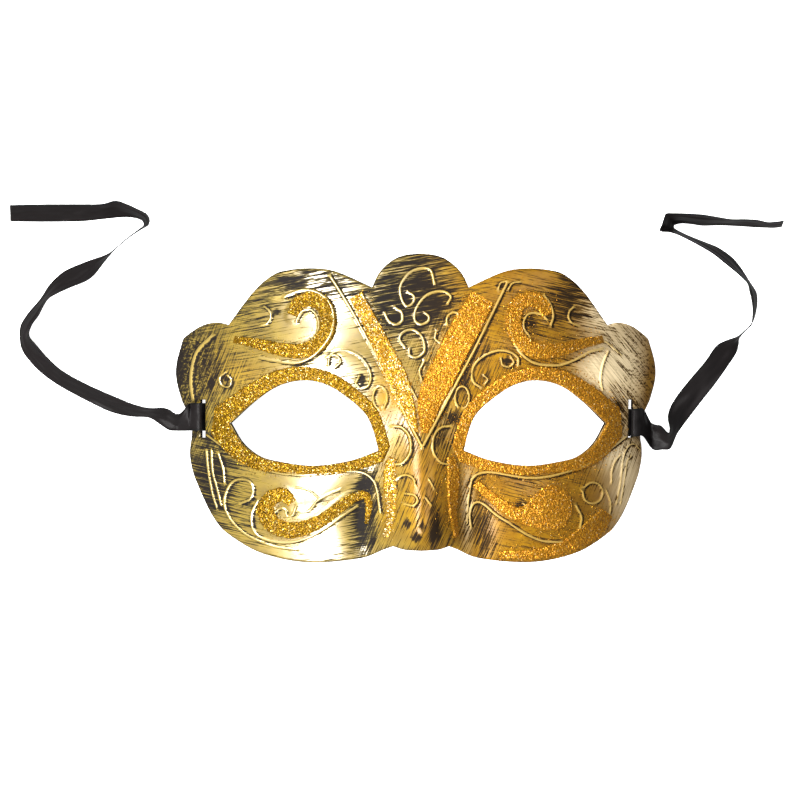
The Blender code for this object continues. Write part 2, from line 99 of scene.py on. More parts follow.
# Relief beads: (half-width, height, points); both sides carry the mirrored ones
MIRRORED_BEADS = [
    (0.55, 0.6, [(10, -6.4), (7, -6.9), (4.6, -9.4), (3.8, -13), (4.3, -16.4), (6.6, -19.3), (9.2, -20)]),
    (0.5, 0.55, [(55, 36), (53.6, 34.6), (53.2, 32.4), (54.4, 30.4), (56.6, 29.6)]),
]
LEFT_BEADS = [
    (0.6, 0.7, [(-32, 46.8), (-26.6, 38), (-21.4, 28.6), (-15, 16.4), (-7.6, 1.6), (0, -13.7)]),
    (0.5, 0.6, [(-21, 40.6), (-16, 30.6), (-11, 21.4), (-5.8, 11.2), (-1.8, 3.6)]),
    (0.7, 0.7, [(-48, 40), (-42, 42), (-36.5, 41.1), (-32.4, 37.4), (-31, 32), (-32, 26.4), (-35.2, 21.4),
                (-39.8, 17.8), (-45, 16.2), (-51, 16.8), (-57, 18)]),
    (0.5, 0.5, [(-44, 31), (-42.3, 34), (-39.8, 35.2), (-37.4, 33.6), (-36.4, 30), (-37, 26)]),
    (0.55, 0.6, [(-33.6, 18), (-30.5, 20.2), (-26.4, 20.5), (-22.8, 19), (-19.7, 16), (-18, 11.8),
                 (-18.7, 8.2), (-21.3, 7), (-23.2, 8.8), (-22.3, 10.9)]),
    (0.45, 0.5, [(-33, 15.6), (-32.4, 18.6), (-30, 18.6), (-28.6, 16.6), (-30.4, 14.8)]),
    (0.7, 0.6, [(-74, 26), (-78.9, 21), (-81, 15.4), (-81.6, 9.2), (-80.8, 3.2)]),
    (0.45, 0.5, [(-69.4, 12.8), (-71.4, 10.8), (-70.6, 8.2), (-68, 7.7), (-67.3, 10.2), (-68.6, 11.8)]),
    (0.55, 0.6, [(-63.5, -34), (-60.4, -32.4), (-59.5, -28.8), (-60.9, -26.2), (-64, -25.5), (-67, -26.8),
                 (-69, -30.4), (-69.6, -34.4), (-68, -39), (-64.5, -43.2), (-59.8, -46.4), (-52, -49.4),
                 (-44, -50.4)]),
    (0.6, 0.6, [(-57.8, -33), (-60, -38), (-59.3, -43.6), (-56, -46.6), (-49, -48), (-42, -46.8),
                (-35, -43.4), (-28, -38.4), (-23, -35)]),
    (0.45, 0.5, [(-51.6, -37), (-49.6, -35.6), (-48, -36.5), (-47.5, -38.5), (-45.5, -38), (-44.2, -35)]),
    (0.4, 0.45, [(-43.4, -28.3), (-39.8, -29.3), (-36.2, -32.1)]),
    (0.45, 0.5, [(-29, -29.1), (-32.6, -30.6), (-36.7, -32.9), (-39.8, -36.5), (-43.4, -37)]),
    (0.45, 0.5, [(-76, -15.4), (-75.3, -22.6), (-73.8, -30.8), (-72.2, -36)]),
    (0.45, 0.5, [(-74.2, -15.4), (-73.8, -22.6), (-72.2, -28.8), (-70.7, -35)]),
    (0.45, 0.5, [(-71.7, -16.5), (-70.1, -21.6), (-69.6, -26.7)]),
    (0.45, 0.5, [(-75.8, -9.8), (-68.6, -14.9), (-61.4, -19), (-53.2, -22.6), (-44, -23.9), (-34.7, -23.4),
                 (-27.4, -22.6), (-21.3, -22.8), (-17.2, -25.5), (-15.6, -29.8), (-14.6, -37)]),
    (0.5, 0.55, [(-9.6, -28), (-9.4, -25.7), (-7.4, -24), (-4.8, -23.9), (-3, -25.2), (-2.6, -27)]),
    (0.5, 0.55, [(-5.6, -30.3), (-2.8, -30.8), (-1.7, -32.9), (-3.3, -34.5), (-5.9, -34)]),
]
RIGHT_BEADS = [
    (0.6, 0.75, [(31, 44.6), (25.4, 33.6), (18.8, 20.6), (10, 4), (0.5, -13.4)]),
    (0.45, 0.5, [(27.8, 42.6), (28.6, 44.6), (30.4, 45.2)]),
    (0.45, 0.5, [(31.4, 42.4), (33, 44.6), (35.6, 45)]),
    (0.6, 0.6, [(44.5, 40), (46.6, 36.8), (47.4, 33), (46.6, 29.6)]),
    (0.55, 0.6, [(45, 31.4), (43.5, 33), (40.9, 33.9), (38.4, 33.4), (36.8, 31), (36.8, 28.2),
                 (38.4, 25.8)]),
    (0.6, 0.6, [(32.2, 34), (31.7, 27.8), (33.7, 22.1), (37.3, 18), (41.4, 15.9), (46.6, 15.3),
                (50.7, 15.6), (55.8, 17.5), (61, 20.1), (65.6, 21.2)]),
    (0.45, 0.5, [(50.7, 20.9), (56.9, 22.1), (61, 23.9), (65.5, 24.1), (68.8, 22.6), (73, 19.2)]),
    (0.45, 0.5, [(68, 20.2), (66, 15.4), (65.3, 10.3), (66, 6.4)]),
    (0.55, 0.6, [(34.6, 15.6), (34.4, 18), (31.7, 19.9), (27.6, 20.5), (22.9, 19), (19.3, 16), (18, 12.3),
                 (18.8, 9.2), (21, 7.6)]),
    (0.45, 0.5, [(28.4, 17.6), (29, 15.4), (31.4, 14.8), (33, 16.4), (31.8, 18.4)]),
    (0.4, 0.45, [(22.4, 11.6), (23.8, 10.2), (22.9, 8.8)]),
    (0.55, 0.6, [(18, -25.4), (20.4, -23.4), (25, -22.8), (31.2, -23.9), (38.4, -24.9), (45.6, -24.5),
                 (52.8, -22.8), (59.4, -20.6), (65.6, -17.3), (70.7, -13.6), (75, -10.6)]),
    (0.55, 0.6, [(17.8, -42.2), (17.3, -38), (18.3, -34.5), (20.4, -33.4), (22.9, -34.5), (27, -38),
                 (32.2, -41.3), (38.4, -45.2), (44.5, -47.5), (51, -47.8)]),
    (0.45, 0.45, [(18, -25.4), (16.8, -32.9), (16.4, -41)]),
    (0.5, 0.55, [(59, -28.4), (61.6, -26.8), (64.6, -27.4), (66.2, -30.2), (65, -33.2), (62, -34.2),
                 (59.2, -32.8), (58.4, -30)]),
    (0.55, 0.55, [(56, -35), (58, -39), (57.6, -42.8)]),
    (0.45, 0.5, [(67.6, -29.8), (69.2, -34), (68.7, -39), (66, -42.2)]),
    (0.45, 0.45, [(36.6, -34), (40.8, -38.6)]),
    (0.45, 0.45, [(43.4, -35), (44.8, -38.6)]),
    (0.4, 0.5, [(69.6, -26.7), (69.8, -22.6), (71.2, -19), (73.2, -17)]),
    (0.4, 0.5, [(71.6, -34.4), (73.2, -26.7), (74.2, -18.5), (75.8, -14.4), (78.4, -13), (80.6, -14.9)]),
    (0.4, 0.5, [(73.2, -34.4), (74.7, -25.7), (75.8, -19.5), (77.3, -17.5)]),
    (0.5, 0.5, [(2.4, -25.4), (4, -28.4)]),
    (0.5, 0.5, [(1.2, -31.9), (2.7, -34)]),
]
CREST_BEADS = [
    (0.6, 0.7, [(4.9, 44.5), (3.6, 49.1), (0.3, 49.9), (-3.8, 48.3), (-6.8, 44.5), (-7.4, 41.2),
                (-6.3, 37.5), (-4.7, 36.2), (-2.6, 37.9), (-2.6, 40), (-4.5, 41.2)]),
    (0.6, 0.7, [(9.7, 37.5), (10.7, 39.5), (9.1, 41.2), (6.1, 41.6), (2.4, 40.4), (-0.5, 37.5),
                (-2.2, 34.1), (-2.2, 31.2), (-0.1, 29.8), (2.4, 30.8), (2.8, 32.5), (1.6, 33.7)]),
    (0.65, 0.7, [(-13, 33.7), (-11.4, 30.8), (-8.8, 29.8), (-6.8, 31.2), (-7, 34.1), (-9.1, 35.6)]),
    (0.6, 0.7, [(-5.9, 21.7), (-7.8, 24.6), (-6.3, 27.1), (-3, 27.9), (-0.1, 25.8), (1.1, 22.5),
                (0.8, 19.8), (-1.6, 18.1), (-4.1, 18.8), (-4.4, 20.7)]),
    (0.5, 0.6, [(9.1, 30.4), (9.4, 32.5), (11.5, 34.1), (14, 33.3), (14.7, 31.6)]),
    (0.5, 0.6, [(5.3, 27.1), (4.9, 24.7), (6.2, 23.6)]),
    (0.5, 0.6, [(0.8, 16.3), (-0.6, 13.2), (0.1, 10.2)]),
]
ELLIPSE_CURL = (14.6, 3.8, 2.5, 4.0)  # centre and radii, mirrored

# Ribbons, as in the CAD model
RIBBON_WIDTH = 10.0
RIBBON_THICKNESS = 0.4
TABLE_GAP = 0.05
RIBBON_STEP = 1.2
# Routes: (x, z) through the slot, then (lower edge x, y, upper edge x, y) along the table.
THREAD = [(75, 4.5), (77.2, 6.2), (77.75, 9.2), (78.1, 11.7), (79.6, 11.4), (82, 8.4)]
LEFT_THREAD = [(-x, -3.2, z) for x, z in THREAD]
LEFT_LYING = [(-86.4, -8.2, -86.2, -2.2), (-89.6, -7.9, -89.8, -0.4), (-93.2, -5.6, -92.6, 0.1)]
LEFT_LYING += [(-97, -3.4, -97, 0), (-103.6, -3, -102.6, 1.4), (-111, -1.2, -109, 4)]
LEFT_LYING += [(-120.6, 3.4, -119, 8.4), (-130, 8.6, -128, 13.4), (-137, 13.9, -133.4, 18.2)]
LEFT_LYING += [(-142, 19.8, -137.6, 23), (-143.4, 24, -140, 26.2), (-143.3, 29.6, -139, 30)]
LEFT_LYING += [(-140.4, 34.4, -136.6, 33.4), (-136, 39.6, -133.6, 38.8), (-132.6, 44.8, -130.6, 41)]
LEFT_LYING += [(-127.6, 49.4, -125, 43.6), (-121, 52.4, -119.6, 45.8), (-116.6, 54, -116.4, 48.2)]
LEFT_LYING += [(-112.6, 55.4, -113.2, 52.4), (-109.8, 57, -109.5, 56.8), (-105, 61.2, -104.8, 61)]
LEFT_LYING += [(-100.6, 64.5, -100.2, 64.2), (-98.7, 66.2, -96.8, 66.4), (-99.4, 68, -97.2, 69.6)]
LEFT_LYING += [(-102, 68.9, -101, 71.8), (-105, 69.2, -105.4, 73.8), (-108.6, 69, -109, 74.8)]
LEFT_LYING += [(-114, 68.4, -114, 73.6), (-121, 67.7, -121, 73.5), (-130, 67.5, -130, 73.5)]
LEFT_LYING += [(-139, 67.5, -139, 73.4), (-147, 67.6, -147, 73.2)]
RIGHT_THREAD = [(x, -5.3, z) for x, z in THREAD]
RIGHT_LYING = [(86, -15, 85.4, -5.4), (89.6, -15.1, 88.6, -6.4), (92.4, -14.8, 90.4, -8.4)]
RIGHT_LYING += [(94, -11.4, 91.3, -8.9), (95, -9.2, 91.5, -7), (97.4, -5.8, 91, -3.8), (100, -2.4, 91.9, 0)]
RIGHT_LYING += [(104, 2.8, 95, 5), (108.6, 8.6, 99.8, 11), (113, 14.8, 104.8, 17), (116.4, 20, 108.6, 22.4)]
RIGHT_LYING += [(117.3, 23.2, 112, 24.4), (117.6, 25.4, 116.2, 25.9), (119.4, 27.7, 118.9, 28.2)]
RIGHT_LYING += [(121.4, 29.8, 120.9, 29.9), (122.9, 32.4, 121.5, 32.4), (123.8, 36, 121.6, 36)]
RIGHT_LYING += [(124.1, 39.6, 121.2, 39.2), (123.6, 42.4, 120.5, 42.2), (121.6, 45.4, 119.8, 45)]
RIGHT_LYING += [(120, 48, 118, 47), (117.8, 51.4, 115.2, 49.5), (114.8, 54.8, 111.6, 52.4)]
RIGHT_LYING += [(110, 58.2, 107.6, 55.6), (104.6, 60.4, 103.2, 58.3), (99, 62.6, 98.2, 61)]
RIGHT_LYING += [(95.6, 64.2, 94.4, 62.8), (94.4, 64.9, 91.4, 63.7), (93.9, 65.4, 88, 64.1)]
RIGHT_LYING += [(93.7, 65.8, 88.6, 66), (93.7, 66, 89.6, 69), (93.9, 66.4, 90.1, 70.4)]
RIGHT_LYING += [(94.8, 66.8, 92.6, 70.5), (97, 67.1, 96.4, 70.4), (100.4, 66.8, 100.4, 70.2)]
RIGHT_LYING += [(104, 66.3, 104, 69.9), (110, 66.4, 110, 68.9), (114, 66.3, 114, 68.3)]
RIGHT_LYING += [(119, 66, 119, 68.3), (123.4, 65.7, 123.6, 68), (127, 65.6, 127, 67.2)]
RIGHT_LYING += [(130, 65.5, 130, 67.4), (133, 65.8, 133, 67.8)]
KNOT_X = 71.6
KNOT_Z = 4.4
KNOT_HALF_WIDTH = 1.5
KNOT_HALF_THICK = 0.5

rng = np.random.default_rng(7)


# ---- form -------------------------------------------------------------------------------


def bump(distance, width):
    return np.exp(-((distance / width) ** 2))


def ramp(value, low, high):
    """0 below low, 1 above high and smooth between."""
    share = np.clip((value - low) / (high - low), 0, 1)
    return share * share * (3 - 2 * share)


def face_height(x, y):
    """Height of the shell's outer face above the table, for arrays of x and y."""
    side = np.abs(x)
    span = CHEEK_SPAN + (TEMPLE_SPAN - CHEEK_SPAN) * bump(y - TEMPLE_Y, 13)
    crown = CROWN_HEIGHT - 0.0062 * np.maximum(0, y - 15) ** 2 - 0.0075 * np.maximum(0, -18 - y) ** 2
    dome = crown * (1 - (side / span) ** 3) - RIM_DROP
    brow_ridge = 3.6 * bump(y - 22, 9) * bump(side - 36, 24)
    socket = -5.5 * bump(y + 5, 13) * bump(side - 42, 22)
    cheek = 3.8 * bump(y + 36, 13) * bump(side - 44, 20)
    crease = -3.2 * bump(y + 42, 16) * bump(side - 19, 6.5)
    along = np.clip((6 - y) / 48, 0, 1)
    under = np.maximum(0, -43 - y)
    ridge = (NOSE_HEIGHT * along**1.25 - 0.11 * under**2) * bump(x, 9.0 + 4.5 * along)
    return dome + brow_ridge + socket + cheek + crease + ridge


def face_normal(x, y):
    step = 0.2
    slope_x = (face_height(x + step, y) - face_height(x - step, y)) / (2 * step)
    slope_y = (face_height(x, y + step) - face_height(x, y - step)) / (2 * step)
    normal = np.stack([-slope_x, -slope_y, np.ones_like(slope_x)], axis=-1)
    return normal / np.linalg.norm(normal, axis=-1, keepdims=True)


def on_face(spots, lift):
    """Points that stand lift square off the face above plane points."""
    x, y = spots[:, 0], spots[:, 1]
    base = np.stack([x, y, face_height(x, y)], axis=-1)
    return base + face_normal(x, y) * np.asarray(lift).reshape(-1, 1)


# ---- plane curves -----------------------------------------------------------------------


def smooth_run(points, step):
    """Points of a Catmull-Rom curve through the given ones, about one every step."""
    spots = np.array(points, float)
    spots = np.vstack([2 * spots[0] - spots[1], spots, 2 * spots[-1] - spots[-2]])
    line = []
    for a, b, c, d in zip(spots, spots[1:], spots[2:], spots[3:]):
        pieces = max(1, round(float(np.linalg.norm(c - b)) / step))
        t = (np.arange(pieces) / pieces)[:, None]
        cubic = (2 * a - 5 * b + 4 * c - d) * t**2 + (3 * b - a - 3 * c + d) * t**3
        line.append(0.5 * (2 * b + (c - a) * t + cubic))
    line.append(spots[-2][None])
    return np.vstack(line)


def mirrored(line):
    return np.array(line, float) * ([-1] + [1] * (len(line[0]) - 1))


def mask_outline(step):
    half = [smooth_run(run, step)[:-1] for run in OUTLINE_RUNS] + [np.array([NOSE[-1]], float)]
    half = np.vstack(half)
    for _ in range(INWARD_STEPS):  # walk points that lie below the table inward, up to its surface
        low = face_height(half[:, 0], half[:, 1]) < RIM_LIFT
        half[low, 0] -= INWARD_STEP
    return np.vstack([half, mirrored(half[1:-1])[::-1]])


def eye_outline(side, step):
    ring = np.vstack([smooth_run(EYE_UPPER, step)[:-1], smooth_run(EYE_LOWER, step)[:-1]])
    return ring if side > 0 else mirrored(ring)


def slot_outline(side):
    half_width, half_length = SLOT_WIDTH / 2, SLOT_LENGTH / 2
    ends = np.linspace(-half_length, half_length, 20)
    right = np.stack([np.full(20, half_width), ends], axis=1)
    left = np.stack([np.full(20, -half_width), ends[::-1]], axis=1)
    return np.vstack([right, left]) + [side * SLOT_X, SLOT_Y]


def closed(ring):
    """A ring's points with the first one again at the end."""
    return np.vstack([ring, ring[:1]])


def travel(line):
    """Unit direction of a line at each of its points."""
    along = np.gradient(line, axis=0)
    return along / np.maximum(np.linalg.norm(along, axis=1, keepdims=True), 1e-9)


def grown_eye(side, amounts_upper, amounts_lower, step):
    """The eye opening's outline moved outward by an amount that changes along each run."""
    grown = []
    for points, amounts in ((EYE_UPPER, amounts_upper), (EYE_LOWER, amounts_lower)):
        line = smooth_run(points, step)
        along = travel(line)
        outward = np.stack([along[:, 1], -along[:, 0]], axis=1)
        amount = np.interp(np.linspace(0, 2, len(line)), (0, 1, 2), amounts)
        grown.append((line + outward * amount[:, None])[:-1])
    ring = np.vstack(grown)
    return ring if side > 0 else mirrored(ring)


def strip_outline(route, step, ragged=0.0):
    """Outline of a strip whose centre points carry its width."""
    line = smooth_run(route, step)
    along = travel(line[:, :2])
    across = np.stack([-along[:, 1], along[:, 0]], axis=1) * line[:, 2:] / 2
    ring = np.vstack([line[:, :2] + across, (line[:, :2] - across)[::-1]])
    return ring + rng.uniform(-ragged, ragged, ring.shape)


def distance_to(spots, line, reach):
    """Distance from each spot to a line, exact up to reach and large beyond it."""
    far = np.full(len(spots), FAR)
    low, high = line.min(0) - reach, line.max(0) + reach
    near = np.where(np.all((spots > low) & (spots < high), axis=1))[0]
    close = spots[near]
    best = np.full(len(near), FAR)
    for a, b in zip(line, line[1:]):
        run = b - a
        share = np.clip((close - a) @ run / max(run @ run, 1e-9), 0, 1)
        best = np.minimum(best, np.linalg.norm(close - a - share[:, None] * run, axis=1))
    far[near] = best
    return far


def inside(spots, ring):
    """Which spots lie in a closed ring."""
    hit = np.zeros(len(spots), bool)
    x, y = spots[:, 0], spots[:, 1]
    for (ax, ay), (bx, by) in zip(ring, np.roll(ring, -1, axis=0)):
        if ay != by:
            crosses = (ay > y) != (by > y)
            hit ^= crosses & (x < (bx - ax) * (y - ay) / (by - ay) + ax)
    return hit


def within(spots, rings):
    """Which spots lie in the first ring and in none of the others."""
    keep = inside(spots, rings[0])
    for hole in rings[1:]:
        keep &= ~inside(spots, hole)
    return keep


# ---- meshes -----------------------------------------------------------------------------


def fill_rings(rings, inner_spots):
    """Triangles between an outer ring and its holes, with extra points inside.

    Returns plane points, triangles, and each ring's indices."""
    spots, edges, starts = [], [], []
    for ring in rings:
        first = len(spots)
        starts.append((first, len(ring)))
        spots += [Vector(p) for p in ring.tolist()]
        edges += [(first + i, first + (i + 1) % len(ring)) for i in range(len(ring))]
    spots += [Vector(p) for p in inner_spots.tolist()]
    points, _, faces, origins, _, _ = delaunay_2d_cdt(spots, edges, [], 0, 1e-5)
    points = np.array([tuple(p) for p in points])
    faces = np.array(faces)
    middle = points[faces].mean(axis=1)
    faces = faces[within(middle, rings)]
    corner = points[faces]
    side_a, side_b = corner[:, 1] - corner[:, 0], corner[:, 2] - corner[:, 0]
    flipped = side_a[:, 0] * side_b[:, 1] < side_a[:, 1] * side_b[:, 0]
    faces[flipped] = faces[flipped][:, ::-1]
    where = {}
    for new, olds in enumerate(origins):
        for old in olds:
            where[old] = new
    loops = [np.array([where[first + i] for i in range(count)]) for first, count in starts]
    return points, faces, loops


ROW_PITCH = 0.866  # rows of an even triangle grid, as a share of its spacing


def honeycomb(rings, spacing, margin, jitter=0.0):
    """Evenly spread points inside the first ring and outside the others, off every edge by margin."""
    low, high = rings[0].min(0), rings[0].max(0)
    rows = np.arange(low[1], high[1], spacing * ROW_PITCH)
    columns = np.arange(low[0], high[0], spacing)
    grid = np.array([(x + spacing / 2 * (j % 2), y) for j, y in enumerate(rows) for x in columns])
    if jitter:
        grid = grid + rng.uniform(-jitter, jitter, grid.shape)
    grid = grid[within(grid, rings)]
    for ring in rings:
        grid = grid[distance_to(grid, closed(ring), margin) > margin]
    return grid


def closed_skin(name, rings, fine, coarse, top_lift, bottom_lift):
    """A closed body between two lifts of the face: a fine upper side and a coarse lower side."""
    top_spots, top_faces, top_loops = fill_rings(rings, fine)
    low_spots, low_faces, low_loops = fill_rings(rings, coarse)
    top = on_face(top_spots, top_lift(top_spots))
    bottom = on_face(low_spots, bottom_lift(low_spots))
    bottom[:, 2] = np.maximum(bottom[:, 2], 0.0)
    shift = len(top)
    walls = []
    for upper, lower, inner in zip(top_loops, low_loops, range(len(rings))):
        turn = ring_area(rings[inner])
        upper_next, lower_next = np.roll(upper, -1), np.roll(lower, -1)
        quads = np.stack([upper, lower + shift, lower_next + shift, upper_next], axis=1)
        outward = (turn > 0) == (inner == 0)
        walls.append(quads if outward else quads[:, ::-1])
    points = np.vstack([top, bottom])
    faces = [tuple(f) for f in top_faces.tolist()]
    faces += [tuple(f) for f in (low_faces[:, ::-1] + shift).tolist()]
    faces += [tuple(f) for quads in walls for f in quads.tolist()]
    mesh = bpy.data.meshes.new(name)
    mesh.from_pydata((points * MM).tolist(), [], faces)
    mesh.validate()
    return mesh, top_spots


def ring_area(ring):
    x, y = ring[:, 0], ring[:, 1]
    return 0.5 * float(np.sum(x * np.roll(y, -1) - np.roll(x, -1) * y))


def add_piece(name, mesh, node, material):
    ob = bpy.data.objects.new(name, mesh)
    bpy.context.scene.collection.objects.link(ob)
    mesh.materials.append(material)
    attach(ob, "root")
    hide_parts(node)
    return ob


def store(mesh, name, values, kind="FLOAT"):
    """Per-point values; points past the given ones get zero."""
    attribute = mesh.attributes.new(name, kind, "POINT")
    field = "value" if kind == "FLOAT" else "vector"
    width = 1 if kind == "FLOAT" else 3
    whole = np.zeros((len(mesh.vertices), width), np.float32)
    whole[: len(values)] = np.asarray(values).reshape(-1, width)
    attribute.data.foreach_set(field, whole.ravel())


# ---- shell ------------------------------------------------------------------------------


BEAD_SCALE = 0.86
FINE_SPACING = 0.62  # of mesh points on the outer face
COARSE_SPACING = 2.2  # of mesh points on hidden sides
MERGE_CELL = 0.16  # mesh points that share a cell this wide become one


def bead_list():
    beads = list(LEFT_BEADS) + list(RIGHT_BEADS) + list(CREST_BEADS)
    for half_width, height, points in MIRRORED_BEADS:
        beads.append((half_width, height, points))
        beads.append((half_width, height, mirrored(points)))
    cx, cy, rx, ry = ELLIPSE_CURL
    turn = np.radians(np.arange(-70, 250, 20))
    curl = np.stack([cx + rx * np.cos(turn), cy + ry * np.sin(turn)], axis=1)
    beads.append((0.5, 0.55, curl))
    beads.append((0.5, 0.55, mirrored(curl)))
    return [(BEAD_SCALE * half_width, BEAD_SCALE * height, smooth_run(points, 0.5))
            for half_width, height, points in beads]


def shell_fine_points(rings, beads):
    """An even grid, with close rows beside each bead and along each edge."""
    near_beads = []
    for half_width, _, line in beads:
        along = travel(line)
        across = np.stack([-along[:, 1], along[:, 0]], axis=1)
        for offset in (-1.9, -1.1, -0.55, 0, 0.55, 1.1, 1.9):
            near_beads.append(line + across * offset * half_width)
    rows = np.vstack(near_beads)
    rows = rows[within(rows, rings)]
    for ring in rings:
        rows = rows[distance_to(rows, closed(ring), 0.5) > 0.3]
    grid = honeycomb(rings, FINE_SPACING, 0.45)
    for _, _, line in beads:
        grid = grid[distance_to(grid, line, 1.3) > 1.15]
    both = np.vstack([rows, grid])
    cells = np.round(both / MERGE_CELL).astype(np.int64)
    _, first = np.unique(cells, axis=0, return_index=True)
    return both[np.sort(first)]


PLATEAU_HEIGHT = 0.35  # the shell is raised by this under a scroll
GROOVE_DEPTH = 0.12
EDGE_WIDTH = 0.6  # every edge of the shell is rounded off over this width
EDGE_DROP = 0.45
SHADE_SHIFT = (0.8, -0.45)  # the dark band beside each bead is moved this way, times its half width, as painted shade on its lower right


def shell_relief(spots, beads, rings):
    """Height of the relief, and how strongly each point is a bead's top or the sunken band beside one, which
    reaches further on the bead's lower right as painted shade.
    """
    height = np.zeros(len(spots))
    bead_top = np.zeros(len(spots))
    groove_and_shade = np.zeros(len(spots))
    for half_width, tall, line in beads:
        away = distance_to(spots, line, 3.0)
        profile = np.sqrt(np.clip(1 - (away / half_width) ** 2, 0, 1))
        height = np.maximum(height, tall * profile)
        bead_top = np.maximum(bead_top, ramp(half_width - away, -0.1, 0.3))
        # This shifted band is painted shade cast on each bead's lower right.
        shaded = distance_to(spots - np.array(SHADE_SHIFT) * half_width, line, 3.0)
        groove_and_shade = np.maximum(groove_and_shade, 1 - ramp(shaded, half_width, 1.7 * half_width))
        groove_and_shade = np.maximum(groove_and_shade, 0.35 * (1 - ramp(np.abs(away - 1.3 * half_width), 0.1, 0.4)))
    groove_and_shade *= 1 - bead_top
    for route in (BROW_SCROLL, mirrored(BROW_SCROLL), mirrored(CHEEK_SCROLL)):
        line = smooth_run(route, 1.0)
        width = line[:, 2].max()
        away = distance_to(spots, line[:, :2], width)
        height = height + PLATEAU_HEIGHT * (1 - ramp(away, width * 0.35, width * 0.6))
    rim = np.full(len(spots), FAR)
    for ring in rings:
        rim = np.minimum(rim, distance_to(spots, closed(ring), 1.2))
    edge = np.clip(1 - rim / EDGE_WIDTH, 0, 1)
    return height - GROOVE_DEPTH * groove_and_shade - EDGE_DROP * edge**2, bead_top, groove_and_shade


# Paint: gold cover blobs (x, y, radius x, radius y, change), on a base cover
BASE_COVER = 0.62
COVER_BLOBS = [
    (-44, 27, 17, 9, 0.24), (-60, 30, 9, 9, -0.2), (-26, 26, 9, 10, 0.3), (-42, 45, 26, 8, -0.38),
    (-78, 16, 10, 16, -0.42), (-87, 14, 5, 14, -0.35), (-75, -26, 10, 18, -0.62), (-62, 36, 8, 6, -0.08),
    (-38, -40, 22, 12, 0.36), (-30, -27, 16, 5, 0.25), (-20.5, -39, 5.0, 14, -0.94), (-20, -27, 4, 4, -0.5),
    (-50, -27, 12, 6, 0.25), (-64, -36, 7, 9, -0.12), (0, 39, 13, 12, -0.75), (-12, 34, 6, 8, -0.4),
    (0, 54, 14, 4, -0.28), (14, 42, 6, 5, 0.1), (52, 37, 7, 8, -0.4), (56, 44, 8, 4, -0.3),
    (40, 29, 4, 4, -0.3), (19, 26, 5, 6, -0.36), (15, 14, 3, 8, -0.5), (24, 14, 5, 5, -0.1),
    (38, 46, 10, 3, 0.1), (78, 14, 7, 12, -0.02), (72, 0, 5, 8, -0.3), (64, 15, 6, 9, 0.35),
    (34, -50, 16, 6, -0.02), (25, -46, 3, 7, -0.15), (42, -46, 12, 6, 0.1), (60, -36, 10, 9, 0.1),
    (72, -28, 7, 13, 0.55), (66, 12, 8, 10, 0.25), (36, -27, 14, 4, -0.04), (21.5, -42, 3, 10, -0.38),
    (4.4, -43, 2.2, 7, -0.8), (0, -24, 6, 10, 0.05), (0, -46, 5, 4, 0.1), (11, -3.4, 2.4, 2.4, -0.7),
    (-12, 4, 4, 12, 0.3), (8, -12, 3, 6, -0.3),
]
DARK_SPOTS = [(-5.3, -41, 1.2, 2), (-0.1, -41.6, 1.1, 1.9), (-2.2, -45.8, 1.9, 2.1)]
DARK_SPOTS += [(-51.2, 34.6, 1.5, 1.1), (-74.6, 8.9, 1.2, 2.2), (-69, 10.6, 1.1, 1.2)]
DARK_SPOTS += [(30.6, 16.7, 1.5, 1.4), (-21, 10, 1.5, 2), (36, -35, 2.6, 2.2), (39.5, 30.5, 2, 1.7)]
DARK_SPOTS += [(28.6, 43.6, 1.6, 1.2)]
# Where beige is laid over the gold: a painted reflection of light surroundings, mostly on the right side.
REFLECTION_BLOBS = [(75, 16, 10, 17, 0.9), (64, 14, 7, 8, 0.85), (66, 34, 7, 7, 0.8), (76, -26, 7, 20, 0.75)]
REFLECTION_BLOBS += [(88, 8, 6, 16, -0.6), (70, -16, 6, 6, 0.6), (16.6, -36, 2, 12, 0.6)]
TONE_BLOBS = [(-72, 14, 10, 14, 0.3), (-12, -38, 4, 12, 0.5), (-60, 12, 8, 6, 0.3), (-12, 0, 7, 14, 0.75)]
TONE_BLOBS += [(0, -30, 9, 24, 0.75)]
SOFT_BLOBS = [(-82, 14, 8, 18, 1.0), (82, 14, 9, 18, 1.0)]  # dabbed instead of brushed
BRUSH_TURNS = (-48, -12, 10, 68)  # directions of the brush strokes, in degrees
# Where each direction rules: (x, y, radius x, radius y, place in BRUSH_TURNS)
STROKES = [
    (-40, 36, 36, 24, 2), (0, 46, 20, 16, 2), (50, 38, 20, 18, 1), (78, 10, 12, 22, 0),
    (-78, 12, 12, 18, 3), (-15, -40, 5, 20, 3), (-25, -38, 5, 14, 2), (-62, -32, 18, 18, 1),
    (70, -28, 14, 20, 3), (0, -36, 9, 24, 3), (22, -42, 6, 14, 3), (12, 10, 12, 18, 3),
    (42, -34, 16, 14, 1), (-36, -34, 16, 14, 2),
]


def blobs(spots, rows):
    total = np.zeros(len(spots))
    for x, y, rx, ry, amount in rows:
        total += amount * np.exp(-(((spots[:, 0] - x) / rx) ** 2) - ((spots[:, 1] - y) / ry) ** 2)
    return total


